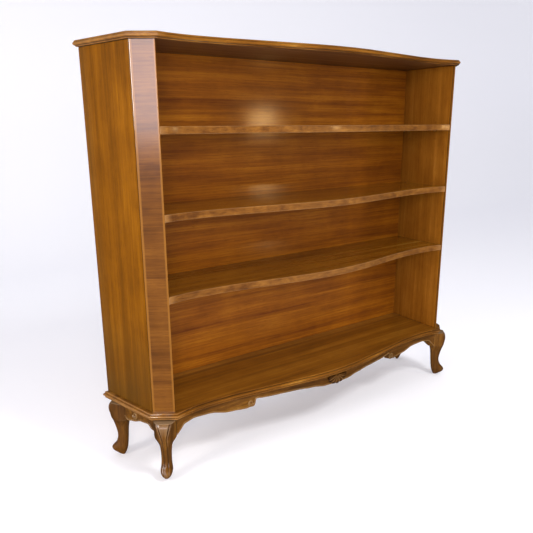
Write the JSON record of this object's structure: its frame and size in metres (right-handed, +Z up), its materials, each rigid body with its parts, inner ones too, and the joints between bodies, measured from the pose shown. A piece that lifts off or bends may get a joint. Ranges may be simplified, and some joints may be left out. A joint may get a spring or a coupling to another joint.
{
  "type": "bookcase",
  "caption": "Free-standing walnut bookcase: adjustable serpentine shelves on brass pins in a case with canted corner posts, moulded top and base, scalloped apron and short cabriole legs.",
  "frame": {"origin": "on the floor, under the middle of the overall width and depth", "axes": "+Z up, +X to the case's own right-hand end seen from the front, the open front faces -Y"},
  "size_m": [1.5502, 0.369, 1.314],
  "materials": {
    "walnut_veneer": "walnut veneer, varnished and polished",
    "walnut_solid": "solid walnut, moulded or carved, varnished",
    "walnut_lipping": "lighter walnut edge strip, varnished",
    "pine_unfinished": "planed pine, unfinished",
    "brass_turned": "turned brass, slightly dulled",
    "steel_screw": "plain steel wood screw"
  },
  "bodies": {
    "case": {"top_panel": "walnut_veneer", "base_board": "walnut_solid", "side_panel_left": "walnut_veneer", "side_panel_right": "walnut_veneer", "side_lining_left": "walnut_veneer", "side_lining_right": "walnut_veneer", "corner_post_left": "walnut_solid", "corner_post_right": "walnut_solid", "back_panel": "walnut_veneer", "back_screw_left_1": "steel_screw", "back_screw_left_2": "steel_screw", "back_screw_left_3": "steel_screw", "back_screw_right_1": "steel_screw", "back_screw_right_2": "steel_screw", "back_screw_right_3": "steel_screw", "leg_front_left": "walnut_solid", "leg_front_right": "walnut_solid", "leg_rear_left": "walnut_solid", "leg_rear_right": "walnut_solid", "apron_front": "walnut_solid", "apron_left": "walnut_solid", "apron_right": "walnut_solid", "rail_rear": "pine_unfinished", "shell_carving": "walnut_solid", "glue_block_front_left": "pine_unfinished", "glue_block_front_right": "pine_unfinished", "glue_block_rear_left": "pine_unfinished", "glue_block_rear_right": "pine_unfinished"},
    "shelf_upper": {"shelf_upper": "walnut_veneer", "shelf_lipping_upper": "walnut_lipping"},
    "shelf_middle": {"shelf_middle": "walnut_veneer", "shelf_lipping_middle": "walnut_lipping"},
    "shelf_lower": {"shelf_lower": "walnut_veneer", "shelf_lipping_lower": "walnut_lipping"},
    "shelf_pin_upper_left_back": {"shelf_pin_upper_left_back": "brass_turned"},
    "shelf_pin_upper_left_front": {"shelf_pin_upper_left_front": "brass_turned"},
    "shelf_pin_upper_right_back": {"shelf_pin_upper_right_back": "brass_turned"},
    "shelf_pin_upper_right_front": {"shelf_pin_upper_right_front": "brass_turned"},
    "shelf_pin_middle_left_back": {"shelf_pin_middle_left_back": "brass_turned"},
    "shelf_pin_middle_left_front": {"shelf_pin_middle_left_front": "brass_turned"},
    "shelf_pin_middle_right_back": {"shelf_pin_middle_right_back": "brass_turned"},
    "shelf_pin_middle_right_front": {"shelf_pin_middle_right_front": "brass_turned"},
    "shelf_pin_lower_left_back": {"shelf_pin_lower_left_back": "brass_turned"},
    "shelf_pin_lower_left_front": {"shelf_pin_lower_left_front": "brass_turned"},
    "shelf_pin_lower_right_back": {"shelf_pin_lower_right_back": "brass_turned"},
    "shelf_pin_lower_right_front": {"shelf_pin_lower_right_front": "brass_turned"}
  },
  "joints": [
    {"name": "shelf_upper_lift", "type": "slide", "parent": "case", "child": "shelf_upper", "axis": [0, 0, 1], "range_m": [0, 0.2]},
    {"name": "shelf_middle_lift", "type": "slide", "parent": "case", "child": "shelf_middle", "axis": [0, 0, 1], "range_m": [0, 0.2]},
    {"name": "shelf_lower_lift", "type": "slide", "parent": "case", "child": "shelf_lower", "axis": [0, 0, 1], "range_m": [0, 0.2]},
    {"name": "pin_upper_left_back_pull", "type": "slide", "parent": "case", "child": "shelf_pin_upper_left_back", "axis": [0.981, 0.1938, 0], "range_m": [0, 0.01]},
    {"name": "pin_upper_left_front_pull", "type": "slide", "parent": "case", "child": "shelf_pin_upper_left_front", "axis": [0.981, 0.1938, 0], "range_m": [0, 0.01]},
    {"name": "pin_upper_right_back_pull", "type": "slide", "parent": "case", "child": "shelf_pin_upper_right_back", "axis": [-0.981, 0.1938, 0], "range_m": [0, 0.01]},
    {"name": "pin_upper_right_front_pull", "type": "slide", "parent": "case", "child": "shelf_pin_upper_right_front", "axis": [-0.981, 0.1938, 0], "range_m": [0, 0.01]},
    {"name": "pin_middle_left_back_pull", "type": "slide", "parent": "case", "child": "shelf_pin_middle_left_back", "axis": [0.981, 0.1938, 0], "range_m": [0, 0.01]},
    {"name": "pin_middle_left_front_pull", "type": "slide", "parent": "case", "child": "shelf_pin_middle_left_front", "axis": [0.981, 0.1938, 0], "range_m": [0, 0.01]},
    {"name": "pin_middle_right_back_pull", "type": "slide", "parent": "case", "child": "shelf_pin_middle_right_back", "axis": [-0.981, 0.1938, 0], "range_m": [0, 0.01]},
    {"name": "pin_middle_right_front_pull", "type": "slide", "parent": "case", "child": "shelf_pin_middle_right_front", "axis": [-0.981, 0.1938, 0], "range_m": [0, 0.01]},
    {"name": "pin_lower_left_back_pull", "type": "slide", "parent": "case", "child": "shelf_pin_lower_left_back", "axis": [0.981, 0.1938, 0], "range_m": [0, 0.01]},
    {"name": "pin_lower_left_front_pull", "type": "slide", "parent": "case", "child": "shelf_pin_lower_left_front", "axis": [0.981, 0.1938, 0], "range_m": [0, 0.01]},
    {"name": "pin_lower_right_back_pull", "type": "slide", "parent": "case", "child": "shelf_pin_lower_right_back", "axis": [-0.981, 0.1938, 0], "range_m": [0, 0.01]},
    {"name": "pin_lower_right_front_pull", "type": "slide", "parent": "case", "child": "shelf_pin_lower_right_front", "axis": [-0.981, 0.1938, 0], "range_m": [0, 0.01]}
  ]
}
